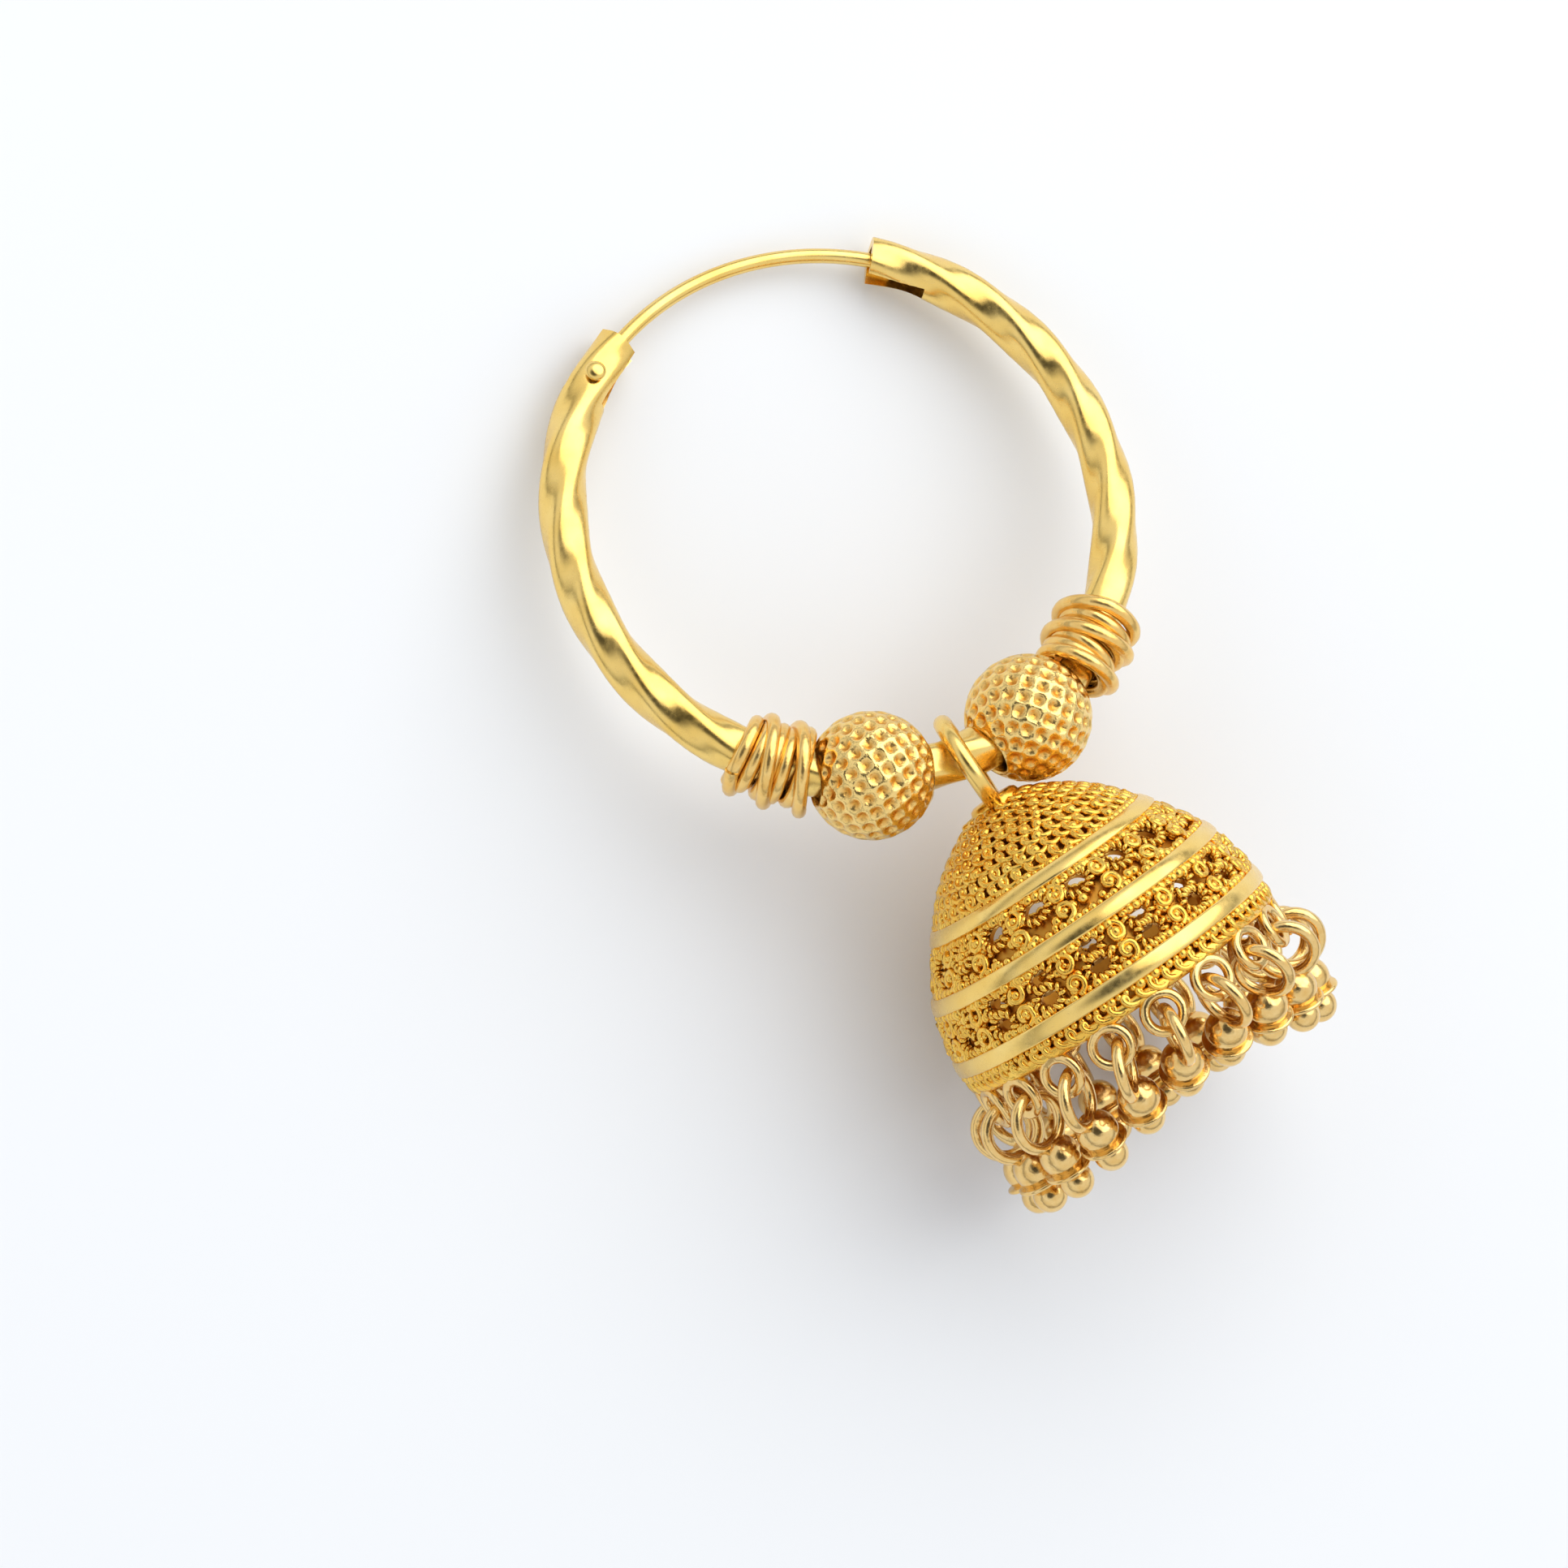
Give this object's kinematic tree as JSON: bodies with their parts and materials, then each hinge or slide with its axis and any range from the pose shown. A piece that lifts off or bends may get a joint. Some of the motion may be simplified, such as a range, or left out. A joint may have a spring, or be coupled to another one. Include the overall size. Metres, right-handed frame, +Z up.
{
  "type": "jhumka earring",
  "caption": "Hoop earring with a hinged ear wire, wire-wound beads and an openwork bell fringed with small ball drops, lying on its side.",
  "frame": {"origin": "centre of the bounding box at the surface it lies on", "axes": "+Z up from the surface, +Y from the bell towards the hoop's ear wire, +X along the hoop's width"},
  "size_m": [0.03, 0.0494, 0.0192],
  "materials": {
    "polished_gold": "polished yellow gold",
    "wound_gold": "drawn wire, satin",
    "textured_gold": "dimpled and grained",
    "filigree_gold": "granulated openwork with plain bands",
    "drop_gold": "polished small balls and rings"
  },
  "bodies": {
    "root": {"hoop_tube": "polished_gold", "hinge_rivet": "polished_gold", "wire_wrap_left": "wound_gold", "wire_wrap_right": "wound_gold", "bead_left": "textured_gold", "bead_right": "textured_gold", "bell": "filigree_gold", "drop_01": "drop_gold", "drop_02": "drop_gold", "drop_03": "drop_gold", "drop_04": "drop_gold", "drop_05": "drop_gold", "drop_06": "drop_gold", "drop_07": "drop_gold", "drop_08": "drop_gold", "drop_09": "drop_gold", "drop_10": "drop_gold", "drop_11": "drop_gold", "drop_12": "drop_gold", "drop_13": "drop_gold", "drop_14": "drop_gold", "drop_15": "drop_gold", "drop_16": "drop_gold", "drop_17": "drop_gold", "drop_18": "drop_gold"},
    "ear_wire": {"ear_wire": "polished_gold"}
  },
  "joints": [
    {"name": "ear_wire_hinge", "type": "hinge", "parent": "root", "child": "ear_wire", "pos_m": [-0.00894, 0.02116, 0.00175], "axis": [0, -0.2748, -0.9615], "range_deg": [0, 60]}
  ]
}
